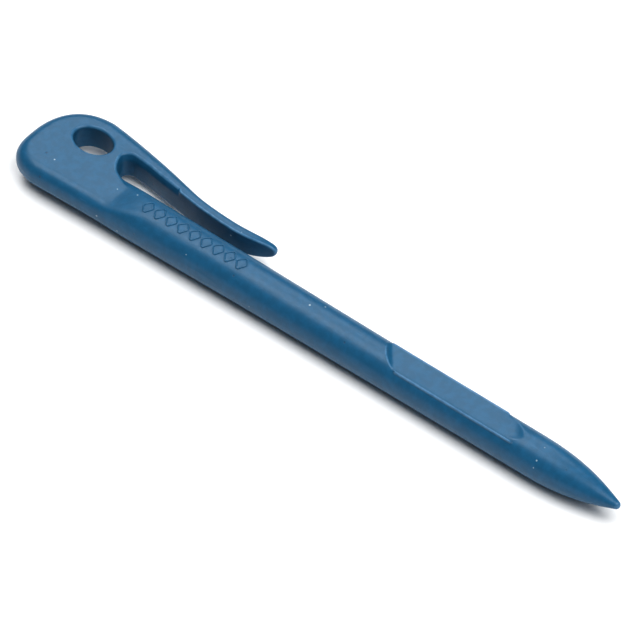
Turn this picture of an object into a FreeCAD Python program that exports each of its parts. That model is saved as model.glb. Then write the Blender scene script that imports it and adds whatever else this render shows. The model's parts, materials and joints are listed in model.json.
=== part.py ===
import FreeCAD, Part
import math
import os

from FreeCAD import Vector

# One-piece moulded plastic stylus: a round tapering barrel with a flat lanyard head, an
# integral pocket clip, a recessed finger rest and a solid pointed nose.  It lies on a table.
# Working coordinates (mm): X runs along the barrel from the head to the point, Y points
# from the barrel axis towards the clip, Z is up and 0 on the barrel axis.
# The finished part is moved so that its origin is the bottom centre of its bounding box.

# ---- whole part: 140.5 long ----
HEAD_END_X = -0.5
POINT_X = 140.0
HEAD_THICKNESS = 5.5
EDGE_ROUND = 2.4
RIM_ROUND = 0.5
ARM_ROUND = 0.6
OUTLINE_KINDS = ("Part::GeomLine", "Part::GeomCircle", "Part::GeomBSplineCurve")
BIG = 400.0
CLEAR = 5.0

# ---- outline of the head plate and clip, seen from above, as (kind, points) ----
CLIP_TIP_X = 53.0
PLATE_OUTLINE = [
    ("line", [(24.0, -3.4), (20.0, -4.75)]),
    ("line", [(20.0, -4.75), (6.6, -5.3)]),
    ("arc", [(6.6, -5.3), (1.76, -3.64), (HEAD_END_X, 0.6)]),
    ("line", [(HEAD_END_X, 0.6), (HEAD_END_X, 3.2)]),
    ("arc", [(HEAD_END_X, 3.2), (2.9, 11.4), (11.0, 14.15)]),
    ("spline", [(11.0, 14.15), (19.3, 12.85), (29.5, 10.45), (35.0, 9.15), (40.0, 8.67),
                (44.6, 8.65), (52.0, 9.9)]),
    ("arc", [(52.0, 9.9), (CLIP_TIP_X, 9.4), (52.6, 8.5)]),
    ("spline", [(52.6, 8.5), (48.5, 7.1), (44.5, 6.45), (40.0, 6.48), (35.0, 6.9),
                (30.0, 7.55), (25.0, 8.27), (20.6, 8.8)]),
    ("arc", [(20.6, 8.8), (17.1, 7.0), (19.6, 3.8)]),
    ("line", [(19.6, 3.8), (24.0, 3.0)]),
    ("line", [(24.0, 3.0), (24.0, -3.4)]),
]
HEAD_END_REGION_X = 15.0
NEAR_REGION_Y = -4.5
BACK_REGION_Y = 11.5

# ---- barrel, finger rest and nose: radius at stations along X ----
BARREL_RADIUS = 4.62
NOSE_RADIUS = 4.04
BARREL_START = 20.5
GRIP_START = 83.5
NOSE_START = 119.5
TAPER_POWER = 1.5
TAPER_STATIONS = (16.5, 35.0, 60.0, 90.0)
OGIVE = [(126.2, 3.77), (131.2, 3.08), (135.8, 2.02)]
CROWN_BLEND_END = 38.0
POINT_RADIUS = 1.0
POINT_SLOPE = 30.0

# ---- finger rest: a flat floor sunk into the top of the grip, with slanted ends ----
REST_CENTRE_X = 101.7
REST_LENGTH = 31.6
REST_FLOOR_Z = 3.4
REST_WIDTH = 7.0
REST_SLANT = 0.85
REST_CORNER = 1.6

# ---- lanyard eye ----
EYE_CENTRE = (10.45, 7.45)
EYE_HALF_LENGTH = 4.15
EYE_HALF_WIDTH = 2.95
RIM_REGION = (5.0, 26.0, 3.0, 9.2)

# ---- pocket clip ----
HINGE_X = 26.0
HINGE_Y = 9.4
KNUCKLE_RADIUS = 1.9
KNUCKLE_CLEARANCE = 0.03
ARM_SIDE_Y = 5.2
LEAF_START = 40.0
LEAF_POWER = 2.2
LEAF_STEPS = 7

# ---- raised grip mark on the barrel: a row of plain rounded bars ----
MARK_COUNT = 9
MARK_START_X = 30.0
MARK_PITCH = 2.6
MARK_SIZE = (1.0, 2.6)
MARK_PROUD = 0.18
MARK_BASE_Z = 2.0


def outline_wire(pieces):
    """Join lines, arcs and splines, given as point lists, into one closed wire."""
    edges = []
    for kind, points in pieces:
        vectors = [Vector(x, y, 0) for x, y in points]
        if kind == "line":
            edges.append(Part.makeLine(vectors[0], vectors[1]))
        elif kind == "arc":
            edges.append(Part.Arc(*vectors).toShape())
        else:
            curve = Part.BSplineCurve()
            curve.interpolate(vectors)
            edges.append(curve.toShape())
    return Part.Wire(Part.__sortEdges__(edges))


def plate():
    """Head, clip arm and the strip that runs into the barrel, all one thickness."""
    slab = Part.Face(outline_wire(PLATE_OUTLINE)).extrude(Vector(0, 0, HEAD_THICKNESS))
    slab.translate(Vector(0, 0, -HEAD_THICKNESS / 2))
    return slab


def eye_cutter():
    """Oval through-hole for a lanyard cord."""
    middle = Vector(EYE_CENTRE[0], EYE_CENTRE[1], -HEAD_THICKNESS)
    oval = Part.Ellipse(middle, EYE_HALF_LENGTH, EYE_HALF_WIDTH).toShape()
    return Part.Face(Part.Wire(oval)).extrude(Vector(0, 0, 2 * HEAD_THICKNESS))


def rim_edges(shape, kinds, keep):
    """Edges on the plate's two faces, of the given curve kinds, that the test keeps."""
    found = []
    for edge in shape.Edges:
        centre = edge.valueAt((edge.FirstParameter + edge.LastParameter) / 2)
        on_face = abs(abs(centre.z) - HEAD_THICKNESS / 2) < 1e-4
        if on_face and edge.Curve.TypeId in kinds and keep(centre):
            found.append(edge)
    return found


def leaf_station(turn):
    """Point (x, half height) of the clip's side view, a quarter of a superellipse."""
    length = CLIP_TIP_X - LEAF_START
    x = LEAF_START + length * math.sin(turn) ** (2 / LEAF_POWER)
    return x, HEAD_THICKNESS / 2 * math.cos(turn) ** (2 / LEAF_POWER)


def tip_taper(side):
    """Block that pares the clip's top (side 1) or underside (side -1) to a leaf tip."""
    turns = [math.radians(90.0 * step / LEAF_STEPS) for step in range(LEAF_STEPS)]
    stations = [leaf_station(turn) for turn in turns]
    points = [Vector(x, 0, side * z) for x, z in stations]
    curve = Part.BSplineCurve()
    curve.interpolate(points)
    far = side * HEAD_THICKNESS
    clear_x = CLIP_TIP_X + CLEAR
    walls = Part.makePolygon([
        points[-1], Vector(clear_x, 0, points[-1].z), Vector(clear_x, 0, far),
        Vector(points[0].x, 0, far), points[0]])
    face = Part.Face(Part.Wire(Part.__sortEdges__([curve.toShape()] + walls.Edges)))
    return face.extrude(Vector(0, BIG, 0))


def head_plate():
    """Plate on the head side of the flexing axis, rounded outside, with its eye."""
    solid = plate().cut(clip_side())
    outer = rim_edges(
        solid, OUTLINE_KINDS,
        lambda c: (c.x < HEAD_END_REGION_X or c.y < NEAR_REGION_Y
                   or (c.y > BACK_REGION_Y and c.x < HINGE_X)))
    solid = solid.makeFillet(EDGE_ROUND, outer)
    solid = solid.cut(eye_cutter())
    low_x, high_x, low_y, high_y = RIM_REGION
    inner = rim_edges(
        solid, ("Part::GeomEllipse", "Part::GeomCircle", "Part::GeomBSplineCurve"),
        lambda c: low_x < c.x < high_x and low_y < c.y < high_y)
    return solid.makeFillet(RIM_ROUND, inner)


def clip_plate():
    """Springy arm with its leaf-shaped tip and the round knuckle it flexes about."""
    solid = plate().common(clip_side().fuse(knuckle(KNUCKLE_RADIUS)))
    long_edges = rim_edges(solid, OUTLINE_KINDS, lambda c: c.x > HINGE_X + KNUCKLE_RADIUS)
    solid = solid.makeFillet(ARM_ROUND, long_edges)
    for side in (1, -1):
        solid = solid.cut(tip_taper(side))
    return solid


def barrel_radius(x):
    """Outer radius of the round part, which tapers most near the head."""
    left = max(0.0, (NOSE_START - x) / (NOSE_START - BARREL_START))
    return NOSE_RADIUS + (BARREL_RADIUS - NOSE_RADIUS) * left ** TAPER_POWER


def round_body():
    """Barrel, grip and ogive nose turned about the X axis."""
    stations = TAPER_STATIONS + (NOSE_START,)
    points = [Vector(x, 0, barrel_radius(x)) for x in stations]
    taper = Part.BSplineCurve()
    taper.interpolate(points)
    centre_x = POINT_X - POINT_RADIUS
    slope = math.radians(POINT_SLOPE)
    tangent = Vector(centre_x + POINT_RADIUS * math.sin(slope), 0, POINT_RADIUS * math.cos(slope))
    cap_middle = Vector(centre_x + POINT_RADIUS * math.cos(slope), 0,
                        POINT_RADIUS * math.sin(slope))
    ogive = Part.BSplineCurve()
    ogive.interpolate(
        [points[-1]] + [Vector(x, 0, radius) for x, radius in OGIVE] + [tangent],
        InitialTangent=Vector(1, 0, 0),
        FinalTangent=Vector(math.cos(slope), 0, -math.sin(slope)))
    point = Part.Arc(tangent, cap_middle, Vector(POINT_X, 0, 0)).toShape()
    axis = Part.makeLine(Vector(POINT_X, 0, 0), Vector(points[0].x, 0, 0))
    butt = Part.makeLine(Vector(points[0].x, 0, 0), points[0])
    edges = [taper.toShape(), ogive.toShape(), point, axis, butt]
    wire = Part.Wire(Part.__sortEdges__(edges))
    solid = Part.Face(wire).revolve(Vector(0, 0, 0), Vector(1, 0, 0), 360)
    for side in (1, -1):
        solid = solid.cut(crown_trim(side))
    return solid


def crown_trim(side):
    """Wedge that takes the barrel's crown down to the thickness of the head."""
    low = HEAD_THICKNESS / 2
    high = barrel_radius(CROWN_BLEND_END)
    start_x = BARREL_START - 2 * CLEAR
    corners = [(start_x, low), (BARREL_START, low), (CROWN_BLEND_END, high),
               (CROWN_BLEND_END, BIG), (start_x, BIG)]
    points = [Vector(x, -BIG / 2, side * z) for x, z in corners]
    face = Part.Face(Part.makePolygon(points + points[:1]))
    return face.extrude(Vector(0, BIG, 0))


def rest_cutter():
    """Sunk finger rest: a flat floor whose slanted ends come up through the barrel."""
    corners = []
    for side_x, side_y in ((-1, -1), (1, -1), (1, 1), (-1, 1)):
        y = side_y * REST_WIDTH / 2
        x = REST_CENTRE_X + side_x * REST_LENGTH / 2 - REST_SLANT * y
        corners.append(Vector(x, y, REST_FLOOR_Z))
    face = Part.Face(Part.makePolygon(corners + corners[:1]))
    block = face.extrude(Vector(0, 0, BARREL_RADIUS))
    upright = [edge for edge in block.Edges if abs(edge.tangentAt(edge.FirstParameter).z) > 0.9]
    return block.makeFillet(REST_CORNER, upright)


def slab_between(x0, x1):
    """Everything between two stations along X."""
    return Part.makeBox(x1 - x0, BIG, BIG, Vector(x0, -BIG / 2, -BIG / 2))


def knuckle(radius):
    """Upright cylinder on the clip's flexing axis."""
    return Part.makeCylinder(radius, 4 * HEAD_THICKNESS,
                             Vector(HINGE_X, HINGE_Y, -2 * HEAD_THICKNESS), Vector(0, 0, 1))


def clip_side():
    """Region of the plate that swings with the clip, past the flexing axis."""
    return Part.makeBox(BIG, BIG, BIG, Vector(HINGE_X, ARM_SIDE_Y, -BIG / 2))


def mark_bars():
    """Row of plain raised bars that follow the barrel's crown, as one group."""
    length, width = MARK_SIZE
    bars = []
    for index in range(MARK_COUNT):
        x = MARK_START_X + index * MARK_PITCH
        outer_radius = barrel_radius(x) + MARK_PROUD
        outer = Part.makeCylinder(outer_radius, length, Vector(x, 0, 0), Vector(1, 0, 0))
        block = Part.makeBox(length, width, BARREL_RADIUS, Vector(x, -width / 2, MARK_BASE_Z))
        bars.append(outer.common(block))
    return bars


def bottom_centre_shift(shapes):
    """Move that puts the origin at the bottom centre of the whole part's box."""
    box = Part.makeCompound(shapes).optimalBoundingBox()
    return Vector(-box.Center.x, -box.Center.y, -box.ZMin)


def pieces():
    """Every named piece in working coordinates."""
    head = head_plate()
    turned = round_body()
    body = head.cut(knuckle(KNUCKLE_RADIUS + KNUCKLE_CLEARANCE)).fuse(turned)
    body = body.removeSplitter()
    beside_slot = Part.makeBox(HINGE_X, BIG, BIG, Vector(BARREL_START, ARM_SIDE_Y, -BIG / 2))
    grip = body.common(slab_between(GRIP_START, NOSE_START))
    return {
        "lanyard_head": body.common(slab_between(-CLEAR, BARREL_START).fuse(beside_slot)),
        "barrel": body.common(slab_between(BARREL_START, GRIP_START).cut(beside_slot)),
        "finger_grip": grip.cut(rest_cutter()),
        "stylus_nose": body.common(slab_between(NOSE_START, POINT_X + CLEAR)),
        "pocket_clip": clip_plate(),
        "grip_marks": Part.makeCompound([bar.cut(turned) for bar in mark_bars()]),
    }


def main():
    os.makedirs("parts", exist_ok=True)
    named = pieces()
    shift = bottom_centre_shift(list(named.values()))
    for name, shape in named.items():
        shape.translate(shift)
        if not shape.isValid():
            raise ValueError(name + " is not valid")
        shape.exportStep("parts/" + name + ".step")
        print(name, round(shape.Volume, 2), len(shape.Solids), shape.optimalBoundingBox())
    hinge = Vector(HINGE_X, HINGE_Y, 0) + shift
    print("shift", shift, "flexing axis", hinge)


main()
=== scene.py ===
import json
import math

import bmesh
import bpy
import numpy as np
from bpy.props import FloatProperty, FloatVectorProperty, IntProperty, PointerProperty
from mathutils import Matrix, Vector


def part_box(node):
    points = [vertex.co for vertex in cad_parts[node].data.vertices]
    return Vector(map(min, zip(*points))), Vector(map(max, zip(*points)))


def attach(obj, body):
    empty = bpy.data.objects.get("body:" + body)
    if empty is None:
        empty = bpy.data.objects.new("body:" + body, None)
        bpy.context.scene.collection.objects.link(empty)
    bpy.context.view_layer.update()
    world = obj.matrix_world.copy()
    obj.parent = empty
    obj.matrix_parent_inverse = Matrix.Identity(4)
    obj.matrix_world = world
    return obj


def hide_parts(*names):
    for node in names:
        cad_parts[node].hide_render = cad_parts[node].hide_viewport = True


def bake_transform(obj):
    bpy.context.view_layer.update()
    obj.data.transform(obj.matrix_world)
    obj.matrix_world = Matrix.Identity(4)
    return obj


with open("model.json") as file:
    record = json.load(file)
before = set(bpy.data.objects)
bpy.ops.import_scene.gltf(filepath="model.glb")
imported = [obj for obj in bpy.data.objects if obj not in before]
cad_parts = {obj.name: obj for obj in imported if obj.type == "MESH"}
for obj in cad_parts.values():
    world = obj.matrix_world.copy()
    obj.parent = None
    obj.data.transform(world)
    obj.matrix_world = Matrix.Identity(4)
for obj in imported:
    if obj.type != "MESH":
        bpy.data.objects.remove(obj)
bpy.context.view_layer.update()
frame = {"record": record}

bl_info = {
    "name": "Moulded Stylus",
    "version": (1, 0, 0),
    "blender": (4, 5, 0),
    "location": "3D View > Sidebar > Stylus",
    "description": "Builds a one-piece moulded plastic stylus around its packed frame",
    "category": "Object",
}

MOUNTS = {mount["name"]: Vector(mount["pos_m"]) for mount in frame["record"]["mounts"]}
MM = 0.001

# ---------------------------------------------------------------- where things are
# The skin is shaped in pen coordinates, in millimetres: x runs from the head end to the
# point, y from the barrel axis towards the clip, z is up and 0 at the parting plane.
NOSE_LOW, NOSE_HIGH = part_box("stylus_nose")
HEAD_LOW, HEAD_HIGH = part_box("lanyard_head")
HEAD_END_X = -0.5
ORIGIN = Vector((HEAD_LOW.x - HEAD_END_X * MM, (NOSE_LOW.y + NOSE_HIGH.y) / 2,
                 (HEAD_LOW.z + HEAD_HIGH.z) / 2))
LENGTH = (NOSE_HIGH.x - ORIGIN.x) / MM
BARREL_X = (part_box("barrel")[0].x - ORIGIN.x) / MM
GRIP_X = (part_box("finger_grip")[0].x - ORIGIN.x) / MM
NOSE_X = (NOSE_LOW.x - ORIGIN.x) / MM
CLIP_X = (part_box("pocket_clip")[0].x - ORIGIN.x) / MM
CLIP_SIDE_Y = 5.2
HEAD_HALF = (HEAD_HIGH.z - HEAD_LOW.z) / MM / 2
EYE = (MOUNTS["lanyard_eye"] - ORIGIN) / MM
REST = (MOUNTS["finger_rest"] - ORIGIN) / MM
NOSE_RADIUS = (NOSE_HIGH.z - NOSE_LOW.z) / MM / 2


# ---------------------------------------------------------------- settings
class StylusShape(bpy.types.PropertyGroup):
    """Sizes of the moulded skin, in millimetres."""
    head_radius: FloatProperty(
        name="Head-end radius", description="Barrel radius where it meets the head, in mm",
        default=4.58)
    taper_power: FloatProperty(
        name="Taper", description="How early the barrel slims down", default=1.5)
    eye_half_length: FloatProperty(
        name="Eye half length", description="Half the eye's length along the pen, in mm",
        default=4.1)
    eye_half_width: FloatProperty(
        name="Eye half width", description="Half the eye's width across the pen, in mm",
        default=2.95)
    eye_rim: FloatProperty(
        name="Eye rim", description="Rounding of the eye's rim, in mm", default=0.55)
    slot_rim: FloatProperty(
        name="Slot rim", description="Rounding of the slot's rim, in mm", default=0.35)
    slot_flare: FloatProperty(
        name="Slot flare", description="How far the slot's upper mouth widens, in mm",
        default=0.5)
    rest_edge: FloatProperty(
        name="Rest edge", description="Rounding of the finger rest's edge, in mm", default=0.16)
    cell: FloatProperty(
        name="Cell", description="Size of the grid that the skin is drawn on, in mm",
        default=0.22)


class StylusLook(bpy.types.PropertyGroup):
    """Colours and surface finish."""
    plastic: FloatVectorProperty(
        name="Plastic", description="Body colour of the blue plastic", subtype="COLOR", size=3,
        default=(0.011, 0.098, 0.198), min=0, max=1)
    # Edge colour: rubbed wear and a painted rim highlight on convex edges; scratches use it too
    rubbing_and_rim_glint: FloatVectorProperty(
        name="Rubbed edge and rim glint", description="Colour of rubbed edges and painted rim highlights", subtype="COLOR", size=3,
        default=(0.10, 0.24, 0.40), min=0, max=1)
    fleck_light: FloatVectorProperty(
        name="Light fleck", description="Colour of pale specks", subtype="COLOR", size=3,
        default=(0.42, 0.52, 0.58), min=0, max=1)
    fleck_dark: FloatVectorProperty(
        name="Dark fleck", description="Colour of dark pits", subtype="COLOR", size=3,
        default=(0.02, 0.06, 0.12), min=0, max=1)
    roughness: FloatProperty(
        name="Roughness", description="Base roughness of the satin plastic", default=0.36,
        min=0, max=1)


class StylusMarks(bpy.types.PropertyGroup):
    """The raised row of plain lozenges on the barrel."""
    count: IntProperty(name="Count", description="How many lozenges", default=9, min=1)
    first: FloatProperty(
        name="First", description="Distance of the first lozenge from the head end, in mm",
        default=30.0)
    middle: FloatProperty(
        name="Middle", description="Sideways place of the row on the barrel, in mm",
        default=-0.2)
    pitch: FloatProperty(
        name="Pitch", description="Distance from one lozenge to the next, in mm", default=2.75)
    length: FloatProperty(
        name="Length", description="Length of one lozenge across the barrel, in mm",
        default=3.3)
    width: FloatProperty(
        name="Width", description="Width of one lozenge along the barrel, in mm", default=2.3)
    line: FloatProperty(
        name="Line", description="Thickness of the raised outline, in mm", default=0.34)


class StylusView(bpy.types.PropertyGroup):
    """The camera."""
    azimuth: FloatProperty(
        name="Azimuth", description="Turn of the view round the stylus, in degrees",
        default=39.83)
    elevation: FloatProperty(
        name="Elevation", description="Height of the view above the floor, in degrees",
        default=46.35)
    lens: FloatProperty(
        name="Lens", description="Focal length, in mm", default=1250.0,
        subtype="DISTANCE_CAMERA")
    sensor: FloatProperty(
        name="Sensor", description="Sensor width, in mm", default=36.0, subtype="DISTANCE_CAMERA")
    frame_width: FloatProperty(
        name="Frame width", description="Width seen at the stylus, in mm", default=115.475)
    aim: FloatVectorProperty(
        name="Aim", description="Point that the camera looks at, in pen coordinates, in mm",
        size=3, default=(67.22, 3.58, -3.34))


# ---------------------------------------------------------------- curves and blends
class Curve:
    """Natural cubic spline y(x) through a few chosen points."""

    def __init__(self, points):
        self.x = np.array([p[0] for p in points], float)
        self.y = np.array([p[1] for p in points], float)
        gaps = np.diff(self.x)
        n = len(points)
        matrix = np.eye(n)
        rise = np.zeros(n)
        for i in range(1, n - 1):
            matrix[i, i - 1:i + 2] = gaps[i - 1], 2 * (gaps[i - 1] + gaps[i]), gaps[i]
            step_up = (self.y[i + 1] - self.y[i]) / gaps[i]
            step_in = (self.y[i] - self.y[i - 1]) / gaps[i - 1]
            rise[i] = 6 * (step_up - step_in)
        self.bend = np.linalg.solve(matrix, rise)

    def at(self, x):
        """Value and slope at x; past the ends the curve goes on straight."""
        held = np.clip(x, self.x[0], self.x[-1])
        i = np.clip(np.searchsorted(self.x, held, side="right") - 1, 0, len(self.x) - 2)
        gap = self.x[i + 1] - self.x[i]
        a = (self.x[i + 1] - held) / gap
        b = 1 - a
        bend_a, bend_b = self.bend[i], self.bend[i + 1]
        value = (a * self.y[i] + b * self.y[i + 1]
                 + ((a ** 3 - a) * bend_a + (b ** 3 - b) * bend_b) * gap ** 2 / 6)
        slope = ((self.y[i + 1] - self.y[i]) / gap
                 + ((3 * b ** 2 - 1) * bend_b - (3 * a ** 2 - 1) * bend_a) * gap / 6)
        return value + slope * (x - held), slope

    def above(self, x, y):
        """Signed distance of (x, y) above the curve, near it."""
        value, slope = self.at(x)
        return (y - value) / np.sqrt(1 + slope ** 2)


def ease(x, start, end):
    """0 before start, 1 after end, with a smooth rise between."""
    t = np.clip((x - start) / (end - start), 0, 1)
    return t * t * (3 - 2 * t)


def blend_max(a, b, width):
    """Intersection of two solids, with its edge softened over the given width."""
    near = np.maximum(width - np.abs(a - b), 0) / width
    return np.maximum(a, b) + near * near * width / 4


def blend_min(a, b, width):
    """Union of two solids, with its corner filled over the given width."""
    return -blend_max(-a, -b, width)


def round_max(a, b, radius):
    """Intersection of two solids whose edge is a true round of the given radius."""
    a_in, b_in = a + radius, b + radius
    corner = np.sqrt(np.maximum(a_in, 0) ** 2 + np.maximum(b_in, 0) ** 2)
    return corner + np.minimum(np.maximum(a_in, b_in), 0) - radius


def oval(u, v, reach, height, power):
    """Signed distance to a superellipse, from offsets u and v measured from its middle."""
    u, v = np.abs(u) / reach, np.abs(v) / height
    size = np.maximum((u ** power + v ** power) ** (1 / power), 1e-3)
    steep_u = (u / size) ** (power - 1) / reach
    steep_v = (v / size) ** (power - 1) / height
    return (size - 1) / np.sqrt(steep_u ** 2 + steep_v ** 2 + 1e-9)


# ---------------------------------------------------------------- outlines, in mm
BACK = Curve([(4.0, 14.6), (10.7, 14.15), (19.3, 12.85), (29.5, 10.45), (35.0, 9.15),
              (40.0, 8.67), (44.6, 8.65), (49.1, 9.35), (52.2, 9.95)])
CLIP_WALL = Curve([(17.0, 9.15), (19.0, 8.97), (22.5, 8.67), (25.0, 8.27), (28.0, 7.85),
                   (30.5, 7.52), (35.0, 6.9), (40.0, 6.48), (44.5, 6.45), (48.0, 7.05),
                   (52.0, 8.45)])
NEAR = Curve([(4.0, -5.3), (12.0, -5.1), (26.0, -4.75), (45.0, -4.45), (60.0, -4.2)])
HEAD_MIDDLE_Y = 2.0
HEAD_FAR = {"reach": 11.5, "height": 12.2, "power": 2.4}
HEAD_NEAR = {"reach": 8.7, "height": 7.3, "power": 2.65}
HEAD_ROUND = (2.5, 1.1)
SLOT_END_X = 17.05
SLOT_CORNER = 2.0
SLOT_FLOOR_Y = 3.0
SLOT_SLANT = (19.3, 4.4, 0.6, 0.8)
SLOT_SLANT_SOFT = 2.0
SLOT_NEAR_CORNER = 1.6
FLARE_X = (30.3, 30.9)
FLARE_DEPTH = 1.6
FLARE_POWER = 1.6
CLIP_TIP_X = 52.9
CLIP_TIP_SOFT = 1.5
LEAF_X = 40.0
LEAF_POWER = 2.2
EDGE_X = (14.0, 38.0)
BARREL_HIDDEN_X = 17.0
BARREL_HIDDEN_SOFT = 1.0
CROWN_X = (19.0, 37.0)
CROWN_DROP = 0.4
CROWN_TOP = 6.0
CROWN_SOFT = 1.2
DRIFT_X = (26.0, 64.0)
AXIS_DRIFT = 0.19
JOIN_Y = (3.2, 4.4)
JOIN_SOFT = (0.12, 0.62)
NOSE_END_SLOPE = 0.34
POINT_RADIUS = 0.82
POINT_X = LENGTH - POINT_RADIUS
TANGENT_X = POINT_X + POINT_RADIUS * math.sin(math.atan(NOSE_END_SLOPE))
TANGENT_R = POINT_RADIUS * math.cos(math.atan(NOSE_END_SLOPE))
NOSE = Curve([(NOSE_X - 3.0, NOSE_RADIUS), (NOSE_X, NOSE_RADIUS), (126.2, 3.78),
              (131.2, 3.07), (135.8, 1.95), (TANGENT_X, TANGENT_R)])
REST_HALF_WIDTH = 2.62
REST_SLANT = 0.85
REST_ENDS = (85.55, 118.2)
REST_RAMPS = (2.0, 3.6)
REST_RISE = 0.85
REST_CORNER_Y = -0.6
REST_CORNER_PULL = 0.75
LIP_RADIUS = 0.22
LIP_ENDS = (87.6, 114.4)
LIP_SINK = 0.14
LIP_SOFT = 0.3
MARKS_DROP_Z = 20.0
PLAIN_X = (56.0, GRIP_X - 2.0)
GRID_MARGIN = 0.7


def barrel_radius(x, shape):
    """Radius of the round part at a station."""
    left = np.clip((NOSE_X - x) / (NOSE_X - BARREL_X), 0, 1.3)
    taper = NOSE_RADIUS + (shape.head_radius - NOSE_RADIUS) * left ** shape.taper_power
    nose, slope = NOSE.at(np.minimum(x, TANGENT_X))
    return np.where(x < NOSE_X, taper, nose), np.where(x < NOSE_X, 0, slope)


def barrel_solid(x, y, z, shape):
    """Barrel, grip and nose, with the crown pared down to the head's thickness."""
    drift = AXIS_DRIFT * (1 - ease(x, *DRIFT_X))
    out = np.sqrt((y + drift) ** 2 + z ** 2)
    radius, slope = barrel_radius(x, shape)
    side = (out - radius) / np.sqrt(1 + slope ** 2)
    point = np.sqrt((x - POINT_X) ** 2 + out ** 2) - POINT_RADIUS
    turned = np.where(x < TANGENT_X, side, point)
    low = HEAD_HALF - CROWN_DROP
    crown = np.abs(z) - low - (CROWN_TOP - low) * ease(x, *CROWN_X)
    pared = blend_max(turned, crown, CROWN_SOFT)
    return blend_max(pared, BARREL_HIDDEN_X - x, BARREL_HIDDEN_SOFT)


def slot_opening(x, y, z, shape):
    """Slot between clip and barrel: a round end, and a flared upper mouth near the head."""
    slant_x, slant_y, lean_x, lean_y = SLOT_SLANT
    slant = -(x - slant_x) * lean_x - (y - slant_y) * lean_y
    end = round_max(CLIP_WALL.above(x, y), SLOT_END_X - x, SLOT_CORNER)
    near = blend_max(slant, SLOT_FLOOR_Y - y, SLOT_SLANT_SOFT)
    rise = np.clip((z - HEAD_HALF + FLARE_DEPTH) / FLARE_DEPTH, 0, 1)
    flare = shape.slot_flare * rise ** FLARE_POWER * (1 - ease(x, *FLARE_X))
    return round_max(end, near, SLOT_NEAR_CORNER) - flare


def plate_solid(x, y, z, shape):
    """Head plate and clip arm, less the slot beside the barrel and the lanyard eye."""
    far, near = (oval(np.minimum(x - HEAD_END_X - half["reach"], 0), y - HEAD_MIDDLE_Y, **half)
                 for half in (HEAD_FAR, HEAD_NEAR))
    end = np.where(y > HEAD_MIDDLE_Y, far, near)
    outline = np.maximum(end, np.maximum(BACK.above(x, y), -NEAR.above(x, y)))
    outline = blend_max(outline, x - CLIP_TIP_X, CLIP_TIP_SOFT)
    leaf = oval(np.maximum(x - LEAF_X, 0), z, CLIP_TIP_X - LEAF_X, HEAD_HALF, LEAF_POWER)
    edge = HEAD_ROUND[0] + (HEAD_ROUND[1] - HEAD_ROUND[0]) * ease(x, *EDGE_X)
    solid = round_max(outline, leaf, np.where(y > HEAD_MIDDLE_Y, edge, HEAD_ROUND[0]))
    solid = round_max(solid, -slot_opening(x, y, z, shape), shape.slot_rim)
    eye = oval(x - EYE.x, y - EYE.y, shape.eye_half_length, shape.eye_half_width, 2.0)
    return round_max(solid, -eye, shape.eye_rim)


def rest_floor(x, y):
    """Height of the finger rest's floor: flat, then curling up at its slanted ends."""
    along = x + REST_SLANT * y
    corner = REST_CORNER_PULL * np.maximum(REST_CORNER_Y - y, 0) ** 2
    start = np.maximum(1 - (along - REST_ENDS[0]) / REST_RAMPS[0], 0)
    end = np.maximum(1 - (REST_ENDS[1] - corner - along) / REST_RAMPS[1], 0)
    return REST.z + REST_RISE * (start ** 2 + end ** 2)


def rest_lips(x, y, z):
    """Fine raised ridges along both long edges of the finger rest."""
    along = np.clip(x + REST_SLANT * y, *LIP_ENDS) - (x + REST_SLANT * y)
    across = np.abs(y) - REST_HALF_WIDTH
    up = z - (REST.z - LIP_SINK)
    return np.sqrt(along ** 2 + across ** 2 + up ** 2) - LIP_RADIUS


def skin_field(x, y, z, shape):
    """Signed distance, in mm, to the surface of the whole moulding (negative inside)."""
    barrel = barrel_solid(x, y, z, shape)
    plate = plate_solid(x, y, z, shape)
    soft = JOIN_SOFT[0] + (JOIN_SOFT[1] - JOIN_SOFT[0]) * ease(y, *JOIN_Y)
    solid = blend_min(plate, barrel, soft)
    solid = blend_max(solid, z - rest_floor(x, y), shape.rest_edge)
    return blend_min(solid, rest_lips(x, y, z), LIP_SOFT)


# ---------------------------------------------------------------- drawing the skin
def grid_lines(shape):
    """Grid along x, y and z: fine where the form changes, coarser along the plain barrel."""
    fine = shape.cell
    dense, coarse = 1.2 * fine, 2.4 * fine
    plain_start, plain_end = PLAIN_X
    stretches = [(HEAD_END_X - GRID_MARGIN, plain_start, dense),
                 (plain_start, plain_end, coarse), (plain_end, NOSE_X, dense),
                 (NOSE_X, LENGTH + GRID_MARGIN, dense)]
    xs = [np.linspace(a, b, int((b - a) / step) + 2)[:-1] for a, b, step in stretches]
    low_y, high_y, half_z = -6.0, BACK.y.max() + GRID_MARGIN, 5.1
    ys = np.arange(low_y, high_y, fine)
    zs = (np.arange(round(2 * half_z / fine)) + 0.5) * fine - half_z
    return np.concatenate(xs), ys, zs


def slope_of(points, shape, step=0.02):
    """Gradient of the field at points."""
    parts = []
    for axis in range(3):
        shift = np.zeros(3)
        shift[axis] = step
        ahead, behind = points + shift, points - shift
        parts.append((skin_field(*ahead.T, shape) - skin_field(*behind.T, shape)) / (2 * step))
    return np.stack(parts, axis=1)


def settle(points, shape, rounds=6, longest=0.25):
    """Move points onto the surface, by short steps along the slope."""
    for _ in range(rounds):
        slope = slope_of(points, shape)
        steep = np.maximum((slope ** 2).sum(axis=1), 0.05)
        push = skin_field(*points.T, shape) / steep
        points = points - np.clip(push, -longest, longest)[:, None] * slope
    return points


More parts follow.
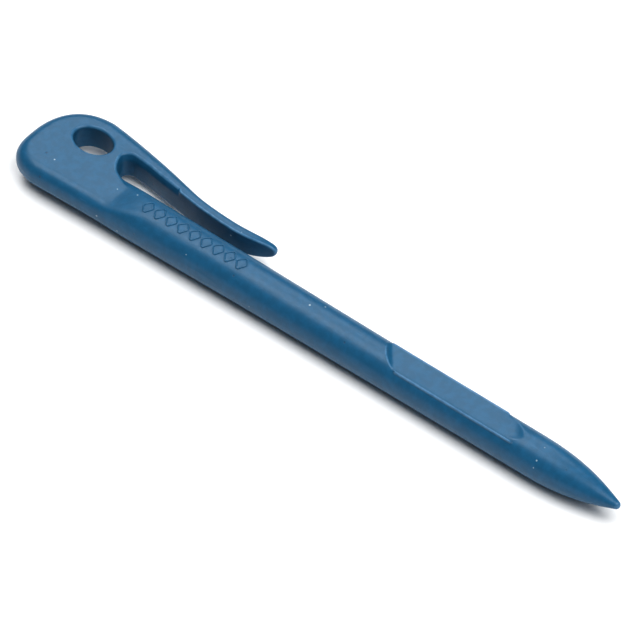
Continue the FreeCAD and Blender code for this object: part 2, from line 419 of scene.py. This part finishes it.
def surface_net(shape):
    """Closed quad mesh of the moulding: one point in each grid cell that it passes through."""
    xs, ys, zs = grid_lines(shape)
    inside = np.empty((len(xs), len(ys), len(zs)), bool)
    for i, x in enumerate(xs):
        inside[i] = skin_field(np.full((1, 1), x), ys[:, None], zs[None, :], shape) < 0
    corners = sum(inside[a:len(xs) - 1 + a, b:len(ys) - 1 + b, c:len(zs) - 1 + c].astype(np.int8)
                  for a in (0, 1) for b in (0, 1) for c in (0, 1))
    cells = np.argwhere((corners > 0) & (corners < 8))
    number = np.full(corners.shape, -1)
    number[tuple(cells.T)] = np.arange(len(cells))
    middle = [(line[:-1] + line[1:]) / 2 for line in (xs, ys, zs)]
    points = np.stack([middle[axis][cells[:, axis]] for axis in range(3)], axis=1)
    quads = []
    for axis in range(3):
        second, third = (axis + 1) % 3, (axis + 2) % 3
        ahead = np.moveaxis(inside, axis, 0)
        crossing = np.moveaxis(ahead[:-1] != ahead[1:], 0, axis)
        edges = np.argwhere(crossing)
        solid_first = inside[tuple(edges.T)]
        ring = []
        for back_second, back_third in ((1, 1), (0, 1), (0, 0), (1, 0)):
            cell = edges.copy()
            cell[:, second] -= back_second
            cell[:, third] -= back_third
            ring.append(number[tuple(cell.T)])
        ring = np.stack(ring, axis=1)
        quads.append(np.where(solid_first[:, None], ring, ring[:, ::-1]))
    return settle(points, shape), np.concatenate(quads)


REGIONS = ("lanyard_head", "barrel", "finger_grip", "stylus_nose", "pocket_clip")


def cut_into_regions(points, quads):
    """Split the skin where the named pieces meet: each region's points and faces."""
    whole = bpy.data.meshes.new("whole_skin")
    whole.from_pydata(points, [], quads.tolist())
    sheet = bmesh.new()
    sheet.from_mesh(whole)
    for station in (BARREL_X, GRIP_X, NOSE_X, CLIP_X):
        near = [f for f in sheet.faces if abs(f.calc_center_median().x - station) < 2.0]
        if station == CLIP_X:
            near = [f for f in near if f.calc_center_median().y > CLIP_SIDE_Y]
        geometry = set(near)
        for face in near:
            geometry.update(face.edges)
            geometry.update(face.verts)
        bmesh.ops.bisect_plane(sheet, geom=list(geometry), dist=1e-4,
                               plane_co=(station, 0, 0), plane_no=(1, 0, 0))
    sheet.to_mesh(whole)
    sheet.free()
    count = len(whole.vertices)
    places = np.empty(count * 3)
    whole.vertices.foreach_get("co", places)
    faces = [list(p.vertices) for p in whole.polygons]
    centres = np.empty(len(faces) * 3)
    whole.polygons.foreach_get("center", centres)
    centres = centres.reshape(-1, 3)
    bpy.data.meshes.remove(whole)
    beyond_slot = centres[:, 1] > CLIP_SIDE_Y
    region = np.digitize(centres[:, 0], [BARREL_X, GRIP_X, NOSE_X])
    region[beyond_slot & (region == 1)] = REGIONS.index("lanyard_head")
    region[beyond_slot & (centres[:, 0] > CLIP_X)] = REGIONS.index("pocket_clip")
    return places.reshape(-1, 3), {
        name: [faces[i] for i in np.flatnonzero(region == k)] for k, name in enumerate(REGIONS)}


SKIN = {}


def skin_regions(shape):
    """The cut skin, drawn once and kept for every piece."""
    if not SKIN:
        SKIN["points"], SKIN["regions"] = cut_into_regions(*surface_net(shape))
    return SKIN["points"], SKIN["regions"]


def corner_normals(mesh, points, skin_faces, shape):
    """Normal at each face corner: the field's slope on the skin, flat on the cut faces."""
    smooth = slope_of(points, shape)
    smooth /= np.linalg.norm(smooth, axis=1)[:, None]
    flat = np.empty(len(mesh.polygons) * 3)
    mesh.polygons.foreach_get("normal", flat)
    vertex = np.empty(len(mesh.loops), int)
    mesh.loops.foreach_get("vertex_index", vertex)
    sides = np.empty(len(mesh.polygons), int)
    mesh.polygons.foreach_get("loop_total", sides)
    face = np.repeat(np.arange(len(mesh.polygons)), sides)
    on_skin = (face < skin_faces)[:, None]
    return np.where(on_skin, smooth[vertex], flat.reshape(-1, 3)[face])


def edge_bend(points, shape, reach=0.25):
    """How sharply the surface bends outwards at each point, per mm."""
    around = sum(skin_field(*(points + sign * reach * axis).T, shape)
                 for axis in np.eye(3) for sign in (-1, 1))
    return (around - 6 * skin_field(*points.T, shape)) / reach ** 2


def skin_piece(node, shape):
    """One region of the skin as a closed object in the frame, in place of its CAD node."""
    points, regions = skin_regions(shape)
    faces = regions[node]
    used = np.unique(np.concatenate([np.array(face) for face in faces]))
    renumber = np.full(len(points), -1)
    renumber[used] = np.arange(len(used))
    local = points[used]
    mesh = bpy.data.meshes.new(node + "_skin")
    mesh.from_pydata(local, [], [renumber[face].tolist() for face in faces])
    shell = bmesh.new()
    shell.from_mesh(mesh)
    rims = [edge for edge in shell.edges if edge.is_boundary]
    caps = bmesh.ops.holes_fill(shell, edges=rims, sides=0)["faces"]
    bmesh.ops.triangulate(shell, faces=caps)
    shell.to_mesh(mesh)
    shell.free()
    normals = corner_normals(mesh, local, len(faces), shape)
    bend = mesh.attributes.new("edge_bend", "FLOAT", "POINT")
    bend.data.foreach_set("value", edge_bend(local, shape).astype(np.float32))
    mesh.vertices.foreach_set("co", (local * MM + np.array(ORIGIN)).ravel())
    mesh.polygons.foreach_set("use_smooth", np.ones(len(mesh.polygons), bool))
    mesh.normals_split_custom_set(normals.tolist())
    mesh.update()
    piece = bpy.data.objects.new(node + "_skin", mesh)
    bpy.context.scene.collection.objects.link(piece)
    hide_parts(node)
    return piece


# ---------------------------------------------------------------- node helpers
def wire(tree, start, end):
    """Link an output to an input."""
    tree.links.new(start, end)


def add(tree, kind, inputs=None, **settings):
    """A node with its settings, and its inputs given as values or as outputs to link."""
    node = tree.nodes.new(kind)
    for name, value in settings.items():
        setattr(node, name, value)
    for name, value in (inputs or {}).items():
        if isinstance(value, bpy.types.NodeSocket):
            wire(tree, value, node.inputs[name])
        else:
            node.inputs[name].default_value = value
    return node


def sums(tree, operation, *values):
    """A Math node's output."""
    return add(tree, "ShaderNodeMath", dict(enumerate(values)), operation=operation).outputs[0]


def ramp(tree, value, low, high, to_low=0.0, to_high=1.0):
    """Map Range, smooth and clamped."""
    return add(tree, "ShaderNodeMapRange",
               {"Value": value, "From Min": low, "From Max": high,
                "To Min": to_low, "To Max": to_high},
               interpolation_type="SMOOTHSTEP").outputs["Result"]


def mix(tree, factor, first, second):
    """Mix two colours."""
    node = tree.nodes.new("ShaderNodeMix")
    node.data_type = "RGBA"
    colour_inputs = [s for s in node.inputs if s.type == "RGBA"]
    for socket, value in zip([node.inputs[0]] + colour_inputs, (factor, first, second)):
        if isinstance(value, bpy.types.NodeSocket):
            wire(tree, value, socket)
        elif socket.type == "RGBA":
            socket.default_value = (*value, 1)
        else:
            socket.default_value = value
    return [s for s in node.outputs if s.type == "RGBA"][0]


def new_group(name, inputs, outputs):
    """An empty shader group with float inputs (name: default) and named outputs."""
    group = bpy.data.node_groups.new(name, "ShaderNodeTree")
    for label, value in inputs.items():
        socket = group.interface.new_socket(label, in_out="INPUT", socket_type="NodeSocketFloat")
        socket.default_value = value
    for label in outputs:
        group.interface.new_socket(label, in_out="OUTPUT", socket_type="NodeSocketFloat")
    enter, leave = group.nodes.new("NodeGroupInput"), group.nodes.new("NodeGroupOutput")
    return group, enter.outputs, leave.inputs


# ---------------------------------------------------------------- surface effects
def moulded_grain():
    """Fine satin grain of the mould, with slow waviness from shrinkage."""
    group, given, out = new_group(
        "Moulded grain", {"Grain size mm": 0.35, "Wave size mm": 9.0},
        ("Grain", "Wave", "Mottle"))
    place = add(group, "ShaderNodeTexCoord").outputs["Object"]
    grain_scale = sums(group, "DIVIDE", 1000.0, given["Grain size mm"])
    wave_scale = sums(group, "DIVIDE", 1000.0, given["Wave size mm"])
    grain = add(group, "ShaderNodeTexNoise",
                {"Vector": place, "Scale": grain_scale, "Detail": 3.0, "Roughness": 0.6})
    wave = add(group, "ShaderNodeTexNoise",
               {"Vector": place, "Scale": wave_scale, "Detail": 1.0, "Roughness": 0.4})
    mottle_scale = sums(group, "MULTIPLY", wave_scale, 6.0)
    mottle = add(group, "ShaderNodeTexNoise",
                 {"Vector": place, "Scale": mottle_scale, "Detail": 4.0, "Roughness": 0.65})
    wire(group, grain.outputs[0], out["Grain"])
    wire(group, wave.outputs[0], out["Wave"])
    wire(group, ramp(group, mottle.outputs[0], 0.38, 0.66), out["Mottle"])
    return group


def specks():
    """Pale flecks and small dark pits, each in a few cells of a cell pattern."""
    group, given, out = new_group(
        "Specks", {"Spacing mm": 2.2, "Speck size": 0.09, "Share": 0.3}, ("Pale", "Dark"))
    place = add(group, "ShaderNodeTexCoord").outputs["Object"]
    scale = sums(group, "DIVIDE", 1000.0, given["Spacing mm"])
    for label, shift in (("Pale", 0.0), ("Dark", 0.37)):
        moved = add(group, "ShaderNodeMapping", {"Vector": place})
        moved.inputs["Location"].default_value = (shift, shift, shift)
        cells = add(group, "ShaderNodeTexVoronoi",
                    {"Vector": moved.outputs[0], "Scale": scale, "Randomness": 1.0})
        chance = add(group, "ShaderNodeSeparateColor", {"Color": cells.outputs["Color"]})
        kept = sums(group, "LESS_THAN", chance.outputs[0], given["Share"])
        size = sums(group, "MULTIPLY", given["Speck size"],
                    sums(group, "ADD", chance.outputs[1], 0.35))
        dot = ramp(group, sums(group, "DIVIDE", cells.outputs["Distance"], size), 0.6, 1.0,
                   1.0, 0.0)
        wire(group, sums(group, "MULTIPLY", dot, kept), out[label])
    return group


def edge_rub_and_rim_glint():
    """Rubbed edges and painted rim highlight: lighter where the surface bends outwards, broken up
    by noise.
    """
    group, given, out = new_group(
        "Edge rub and rim glint", {"Bend": 0.0, "Low": 0.7, "High": 2.4, "Breakup": 0.5}, ("Rub and glint",))
    place = add(group, "ShaderNodeTexCoord").outputs["Object"]
    patches = add(group, "ShaderNodeTexNoise",
                  {"Vector": place, "Scale": 700.0, "Detail": 4.0, "Roughness": 0.7})
    bent_edges = ramp(group, given["Bend"], given["Low"], given["High"])
    broken = ramp(group, patches.outputs[0], 0.35, 0.6)
    loss = sums(group, "MULTIPLY", given["Breakup"], sums(group, "SUBTRACT", 1.0, broken))
    wire(group, sums(group, "MULTIPLY", bent_edges, sums(group, "SUBTRACT", 1.0, loss)),
         out["Rub and glint"])
    return group


def scuffs():
    """Short faint scratches, mostly along the barrel, in scattered patches."""
    group, given, out = new_group("Scuffs", {"Amount": 0.5}, ("Scratch", "Rubbed"))
    place = add(group, "ShaderNodeTexCoord").outputs["Object"]
    lines = []
    for turn, stretch in ((0.16, 60.0), (-0.42, 90.0)):
        turned = add(group, "ShaderNodeMapping", {"Vector": place})
        turned.inputs["Rotation"].default_value = (0.0, 0.0, turn)
        turned.inputs["Scale"].default_value = (stretch, 1400.0, 1400.0)
        noise = add(group, "ShaderNodeTexNoise",
                    {"Vector": turned.outputs[0], "Scale": 1.0, "Detail": 2.0})
        lines.append(ramp(group, noise.outputs[0], 0.66, 0.74))
    patches = add(group, "ShaderNodeTexNoise",
                  {"Vector": place, "Scale": 190.0, "Detail": 3.0, "Roughness": 0.6})
    where = ramp(group, patches.outputs[0], 0.5, 0.66)
    drawn = sums(group, "MULTIPLY", sums(group, "MAXIMUM", *lines), where)
    wire(group, sums(group, "MULTIPLY", drawn, given["Amount"]), out["Scratch"])
    wire(group, sums(group, "MULTIPLY", where, given["Amount"]), out["Rubbed"])
    return group


GRAIN_HEIGHT, WAVE_HEIGHT, FLECK_HEIGHT = 0.012, 0.16, 0.02
PIT_DEPTH, SCRATCH_DEPTH = 0.05, 0.008
MOTTLE_SHADE = 0.86
PLASTIC_SPECULAR = 0.3
EFFECTS = {"grain": moulded_grain, "specks": specks, "rub_and_glint": edge_rub_and_rim_glint, "scuffs": scuffs}
MADE_EFFECTS = {}


def effect(tree, name, **inputs):
    """One of the shared effects placed in a material; its group is built once."""
    if name not in MADE_EFFECTS:
        MADE_EFFECTS[name] = EFFECTS[name]()
    node = tree.nodes.new("ShaderNodeGroup")
    node.node_tree = MADE_EFFECTS[name]
    for label, value in inputs.items():
        socket = node.inputs[label.replace("_", " ")]
        if isinstance(value, bpy.types.NodeSocket):
            wire(tree, value, socket)
        else:
            socket.default_value = value
    return node.outputs


def blue_plastic(name, look, painted_light_lift=1.0, rub_and_glint=0.6, speck_share=0.3, scuff=0.4):
    """Satin blue moulded plastic: lift lightens the whole colour as painted light, the edge
    amount lightens convex edges as rubbed wear and a painted rim highlight, the rest set the
    surface detail.
    """
    material = bpy.data.materials.new(name)
    material.use_nodes = True
    tree = material.node_tree
    shader = tree.nodes["Principled BSDF"]
    body = tuple(channel * painted_light_lift for channel in look.plastic)
    bend = add(tree, "ShaderNodeAttribute", attribute_name="edge_bend").outputs["Fac"]
    surface = effect(tree, "grain")
    dots = effect(tree, "specks", Share=speck_share)
    rubbing_and_rim_glint = effect(tree, "rub_and_glint", Bend=bend, Breakup=0.55)["Rub and glint"]
    rubs = effect(tree, "scuffs", Amount=scuff)

    deep = tuple(channel * MOTTLE_SHADE for channel in body)
    colour = mix(tree, surface["Mottle"], deep, body)
    # Convex edges lightened towards the edge colour: partly rubbed wear, partly a painted rim
    # highlight
    colour = mix(tree, sums(tree, "MULTIPLY", rubbing_and_rim_glint, rub_and_glint), colour, look.rubbing_and_rim_glint)
    colour = mix(tree, sums(tree, "MULTIPLY", rubs["Scratch"], 0.35), colour, look.rubbing_and_rim_glint)
    colour = mix(tree, sums(tree, "MULTIPLY", dots["Dark"], 0.75), colour, look.fleck_dark)
    colour = mix(tree, sums(tree, "MULTIPLY", dots["Pale"], 0.8), colour, look.fleck_light)
    wire(tree, colour, shader.inputs["Base Color"])

    rough = ramp(tree, surface["Grain"], 0.3, 0.7, look.roughness - 0.05, look.roughness + 0.06)
    rough = sums(tree, "ADD", rough, sums(tree, "MULTIPLY", rubs["Rubbed"], 0.08))
    rough = sums(tree, "SUBTRACT", rough, sums(tree, "MULTIPLY", rubbing_and_rim_glint, 0.06))
    wire(tree, rough, shader.inputs["Roughness"])

    height = sums(tree, "MULTIPLY", surface["Grain"], GRAIN_HEIGHT)
    for detail, rise in ((surface["Wave"], WAVE_HEIGHT), (dots["Dark"], -PIT_DEPTH),
                         (dots["Pale"], FLECK_HEIGHT), (rubs["Scratch"], -SCRATCH_DEPTH)):
        height = sums(tree, "ADD", height, sums(tree, "MULTIPLY", detail, rise))
    bump = add(tree, "ShaderNodeBump", {"Strength": 1.0, "Distance": MM, "Height": height})
    wire(tree, bump.outputs[0], shader.inputs["Normal"])
    shader.inputs["Specular IOR Level"].default_value = PLASTIC_SPECULAR
    return material


# ---------------------------------------------------------------- row of raised marks
def lozenge_outline(tree, given):
    """One hollow lozenge of round wire, flat on its own origin."""
    half_width = sums(tree, "MULTIPLY", given["Width"], 0.5)
    half_length = sums(tree, "MULTIPLY", given["Length"], 0.5)
    corners = {}
    for number, (side, along) in enumerate(((1, 0), (0, 1), (-1, 0), (0, -1)), start=1):
        corner = add(tree, "ShaderNodeCombineXYZ",
                     {"X": sums(tree, "MULTIPLY", half_width, side),
                      "Y": sums(tree, "MULTIPLY", half_length, along)})
        corners[f"Point {number}"] = corner.outputs[0]
    frame_line = add(tree, "GeometryNodeCurvePrimitiveQuadrilateral", corners, mode="POINTS")
    softened = add(tree, "GeometryNodeFilletCurve",
                   {"Curve": frame_line.outputs[0], "Count": 4,
                    "Radius": sums(tree, "MULTIPLY", given["Width"], 0.18)}, mode="POLY")
    divided = add(tree, "GeometryNodeSubdivideCurve", {"Curve": softened.outputs[0], "Cuts": 3})
    section = add(tree, "GeometryNodeCurvePrimitiveCircle",
                  {"Resolution": 10, "Radius": sums(tree, "MULTIPLY", given["Line"], 0.5)})
    wire_mesh = add(tree, "GeometryNodeCurveToMesh",
                    {"Curve": divided.outputs[0], "Profile Curve": section.outputs[0]})
    return wire_mesh.outputs[0]


def laid_on_ground(tree, given, geometry):
    """Drop a flat mesh straight down onto the ground object, keeping its own thickness."""
    ground = add(tree, "GeometryNodeObjectInfo", {"Object": given["Ground"]})
    position = add(tree, "GeometryNodeInputPosition").outputs[0]
    place = add(tree, "ShaderNodeSeparateXYZ", {0: position})
    first = add(tree, "ShaderNodeSeparateXYZ", {0: given["First"]})
    height = sums(tree, "SUBTRACT", place.outputs[2], first.outputs[2])
    above = add(tree, "ShaderNodeCombineXYZ",
                {"X": place.outputs[0], "Y": place.outputs[1], "Z": first.outputs[2]})
    drop = add(tree, "GeometryNodeRaycast",
               {"Target Geometry": ground.outputs["Geometry"],
                "Source Position": above.outputs[0], "Ray Direction": (0.0, 0.0, -1.0),
                "Ray Length": 0.05})
    proud = add(tree, "ShaderNodeVectorMath",
                {0: drop.outputs["Hit Normal"], "Scale": height}, operation="SCALE")
    target = add(tree, "ShaderNodeVectorMath",
                 {0: drop.outputs["Hit Position"], 1: proud.outputs[0]}, operation="ADD")
    return add(tree, "GeometryNodeSetPosition",
               {"Geometry": geometry, "Position": target.outputs[0]}).outputs[0]


def lozenge_row():
    """Geometry Nodes tree: a row of hollow lozenges laid on the barrel's crown."""
    tree = bpy.data.node_groups.new("Raised lozenge row", "GeometryNodeTree")
    for label, kind in (("Count", "Int"), ("First", "Vector"), ("Pitch", "Float"),
                        ("Length", "Float"), ("Width", "Float"), ("Line", "Float"),
                        ("Ground", "Object"), ("Finish", "Material")):
        tree.interface.new_socket(label, in_out="INPUT", socket_type="NodeSocket" + kind)
    tree.interface.new_socket("Geometry", in_out="OUTPUT", socket_type="NodeSocketGeometry")
    given = tree.nodes.new("NodeGroupInput").outputs
    step = add(tree, "ShaderNodeCombineXYZ", {"X": given["Pitch"]})
    spots = add(tree, "GeometryNodeMeshLine",
                {"Count": given["Count"], "Start Location": given["First"],
                 "Offset": step.outputs[0]})
    row = add(tree, "GeometryNodeInstanceOnPoints",
              {"Points": spots.outputs[0], "Instance": lozenge_outline(tree, given)})
    single = add(tree, "GeometryNodeRealizeInstances", {"Geometry": row.outputs[0]})
    laid = laid_on_ground(tree, given, single.outputs[0])
    smooth = add(tree, "GeometryNodeSetShadeSmooth", {"Geometry": laid})
    whole = add(tree, "GeometryNodeRealizeInstances", {"Geometry": smooth.outputs[0]})
    finished = add(tree, "GeometryNodeSetMaterial",
                   {"Geometry": whole.outputs[0], "Material": given["Finish"]})
    wire(tree, finished.outputs[0], tree.nodes.new("NodeGroupOutput").inputs[0])
    return tree


def run_tree(name, tree, values):
    """Evaluate a Geometry Nodes tree and keep its result as a plain mesh object."""
    carrier = bpy.data.objects.new(name, bpy.data.meshes.new(name))
    bpy.context.scene.collection.objects.link(carrier)
    modifier = carrier.modifiers.new("Build", "NODES")
    modifier.node_group = tree
    for item in tree.interface.items_tree:
        if item.in_out == "INPUT" and item.name in values:
            modifier[item.identifier] = values[item.name]
    bpy.context.view_layer.update()
    ready = carrier.evaluated_get(bpy.context.evaluated_depsgraph_get())
    mesh = bpy.data.meshes.new_from_object(ready)
    mesh.name = name
    carrier.modifiers.remove(modifier)
    carrier.data = mesh
    if not mesh.vertices:
        raise RuntimeError(f"{name}: the node tree made nothing")
    return carrier


# ---------------------------------------------------------------- light and camera
def pane(name, size, place, watts):
    """A rectangular white soft light at place, turned towards the origin."""
    light = bpy.data.lights.new(name, "AREA")
    light.shape = "RECTANGLE"
    light.size, light.size_y = size
    light.energy = watts
    lamp = bpy.data.objects.new(name, light)
    lamp.location = place
    lamp.rotation_euler = (-lamp.location).to_track_quat("-Z", "Y").to_euler()
    bpy.context.scene.collection.objects.link(lamp)
    return lamp


def studio_floor(radius=1.85):
    """A large flat round floor; it has no rim, so that a low view isn't blocked."""
    disc = bmesh.new()
    bmesh.ops.create_circle(disc, cap_ends=True, radius=radius, segments=96)
    mesh = bpy.data.meshes.new("studio_floor")
    disc.to_mesh(mesh)
    disc.free()
    floor = bpy.data.objects.new("studio_floor", mesh)
    bpy.context.scene.collection.objects.link(floor)
    return floor


def pale_paper():
    """Plain near-white paper with a trace of tooth."""
    material = bpy.data.materials.new("pale_paper")
    material.use_nodes = True
    tree = material.node_tree
    shader = tree.nodes["Principled BSDF"]
    place = add(tree, "ShaderNodeTexCoord").outputs["Object"]
    tooth = add(tree, "ShaderNodeTexNoise", {"Vector": place, "Scale": 900.0, "Detail": 3.0})
    shade = mix(tree, tooth.outputs[0], (0.84, 0.84, 0.84), (0.88, 0.88, 0.88))
    wire(tree, shade, shader.inputs["Base Color"])
    shader.inputs["Roughness"].default_value = 0.85
    shader.inputs["Specular IOR Level"].default_value = 0.15
    return material


# ---------------------------------------------------------------- operators
class StylusPiece:
    """What every build step of the stylus shares."""
    bl_options = {"REGISTER", "UNDO"}

    def settings(self, context):
        scene = context.scene
        return scene.stylus_shape, scene.stylus_look


class STYLUS_OT_head(StylusPiece, bpy.types.Operator):
    """Flat head with the lanyard eye and the slot's flared end"""
    bl_idname = "stylus.head"
    bl_label = "Lanyard Head"

    def execute(self, context):
        shape, look = self.settings(context)
        piece = skin_piece("lanyard_head", shape)
        piece.data.materials.append(blue_plastic("head_plastic", look))
        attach(piece, "stylus_body")
        return {"FINISHED"}


class STYLUS_OT_barrel(StylusPiece, bpy.types.Operator):
    """Round barrel beside the clip and down to the grip"""
    bl_idname = "stylus.barrel"
    bl_label = "Barrel"

    def execute(self, context):
        shape, look = self.settings(context)
        piece = skin_piece("barrel", shape)
        piece.data.materials.append(blue_plastic("barrel_plastic", look))
        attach(piece, "stylus_body")
        return {"FINISHED"}


class STYLUS_OT_grip(StylusPiece, bpy.types.Operator):
    """Grip with its sunk finger rest"""
    bl_idname = "stylus.grip"
    bl_label = "Finger Grip"

    def execute(self, context):
        shape, look = self.settings(context)
        piece = skin_piece("finger_grip", shape)
        piece.data.materials.append(blue_plastic("grip_plastic", look))
        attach(piece, "stylus_body")
        return {"FINISHED"}


class STYLUS_OT_nose(StylusPiece, bpy.types.Operator):
    """Pointed arch of the nose, with its solid rounded point"""
    bl_idname = "stylus.nose"
    bl_label = "Nose"

    def execute(self, context):
        shape, look = self.settings(context)
        piece = skin_piece("stylus_nose", shape)
        # The nose's plastic is made 4% lighter as painted light, standing in for the brighter
        # light the nose gets from the point end
        piece.data.materials.append(blue_plastic("nose_plastic", look, painted_light_lift=1.04, scuff=0.6))
        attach(piece, "stylus_body")
        return {"FINISHED"}


class STYLUS_OT_clip(StylusPiece, bpy.types.Operator):
    """Springy pocket clip, from where it leaves the head"""
    bl_idname = "stylus.clip"
    bl_label = "Pocket Clip"

    def execute(self, context):
        shape, look = self.settings(context)
        piece = skin_piece("pocket_clip", shape)
        piece.data.materials.append(blue_plastic("clip_plastic", look))
        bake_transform(piece)
        return {"FINISHED"}


class STYLUS_OT_marks(StylusPiece, bpy.types.Operator):
    """Raised row of plain lozenges on the crown of the barrel"""
    bl_idname = "stylus.marks"
    bl_label = "Raised Marks"

    def execute(self, context):
        look, marks = context.scene.stylus_look, context.scene.stylus_marks
        ground = bpy.data.objects["barrel_skin"]
        finish = blue_plastic("mark_plastic", look, rub_and_glint=0.3, speck_share=0.0)
        first = ORIGIN + Vector((marks.first, marks.middle, MARKS_DROP_Z)) * MM
        values = {"Count": marks.count, "First": tuple(first), "Pitch": marks.pitch * MM,
                  "Length": marks.length * MM, "Width": marks.width * MM,
                  "Line": marks.line * MM, "Ground": ground, "Finish": finish}
        piece = run_tree("grip_marks_row", lozenge_row(), values)
        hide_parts("grip_marks")
        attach(piece, "stylus_body")
        return {"FINISHED"}


class STYLUS_OT_stage(bpy.types.Operator):
    """Pale floor, soft lights and the camera"""
    bl_idname = "stylus.stage"
    bl_label = "Stage"
    bl_options = {"REGISTER", "UNDO"}

    def execute(self, context):
        scene = context.scene
        view = scene.stylus_view
        floor = studio_floor()
        floor.data.materials.append(pale_paper())

        world = scene.world or bpy.data.worlds.new("Studio")
        scene.world = world
        world.use_nodes = True
        sky = world.node_tree.nodes["Background"]
        sky.inputs["Color"].default_value = (1.0, 1.0, 1.0, 1.0)
        sky.inputs["Strength"].default_value = 0.12
        scene.view_settings.view_transform = "Standard"
        scene.view_settings.gamma = 0.86
        pane("head_softbox", (0.9, 0.9), (-0.7, 0.85, 1.2), 11.0)
        pane("barrel_softbox", (0.8, 0.5), (-0.55, -0.12, 1.2), 10.0)
        pane("nose_softbox", (1.0, 1.0), (0.65, -0.05, 1.1), 18.0)

        turn, rise = math.radians(view.azimuth), math.radians(view.elevation)
        back = Vector((math.sin(turn) * math.cos(rise), -math.cos(turn) * math.cos(rise),
                       math.sin(rise)))
        aim = ORIGIN + Vector(view.aim) * MM
        lens = bpy.data.cameras.new("camera")
        lens.lens, lens.sensor_width = view.lens, view.sensor
        lens.clip_start, lens.clip_end = 0.05, 30.0
        camera = bpy.data.objects.new("camera", lens)
        distance = view.frame_width * MM * view.lens / view.sensor
        camera.location = aim + back * distance
        camera.rotation_euler = (-back).to_track_quat("-Z", "Y").to_euler()
        scene.collection.objects.link(camera)
        scene.camera = camera
        return {"FINISHED"}


STEPS = (STYLUS_OT_head, STYLUS_OT_barrel, STYLUS_OT_grip, STYLUS_OT_nose, STYLUS_OT_clip,
         STYLUS_OT_marks, STYLUS_OT_stage)


class STYLUS_PT_panel(bpy.types.Panel):
    """Build steps of the moulded stylus"""
    bl_idname = "STYLUS_PT_panel"
    bl_label = "Moulded Stylus"
    bl_space_type = "VIEW_3D"
    bl_region_type = "UI"
    bl_category = "Stylus"

    def draw(self, context):
        column = self.layout.column()
        for step in STEPS:
            column.operator(step.bl_idname)
        for group in (context.scene.stylus_shape, context.scene.stylus_look,
                      context.scene.stylus_marks, context.scene.stylus_view):
            for name in group.__annotations__:
                column.prop(group, name)


SETTINGS = {"stylus_shape": StylusShape, "stylus_look": StylusLook,
            "stylus_marks": StylusMarks, "stylus_view": StylusView}
CLASSES = tuple(SETTINGS.values()) + STEPS + (STYLUS_PT_panel,)


def register():
    for cls in CLASSES:
        bpy.utils.register_class(cls)
    for name, group in SETTINGS.items():
        setattr(bpy.types.Scene, name, PointerProperty(type=group))


def unregister():
    for name in SETTINGS:
        delattr(bpy.types.Scene, name)
    for cls in reversed(CLASSES):
        bpy.utils.unregister_class(cls)


def main():
    register()
    bpy.ops.stylus.head()
    bpy.ops.stylus.barrel()
    bpy.ops.stylus.grip()
    bpy.ops.stylus.nose()
    bpy.ops.stylus.clip()
    bpy.ops.stylus.marks()
    bpy.ops.stylus.stage()


if __name__ == "__main__":
    main()
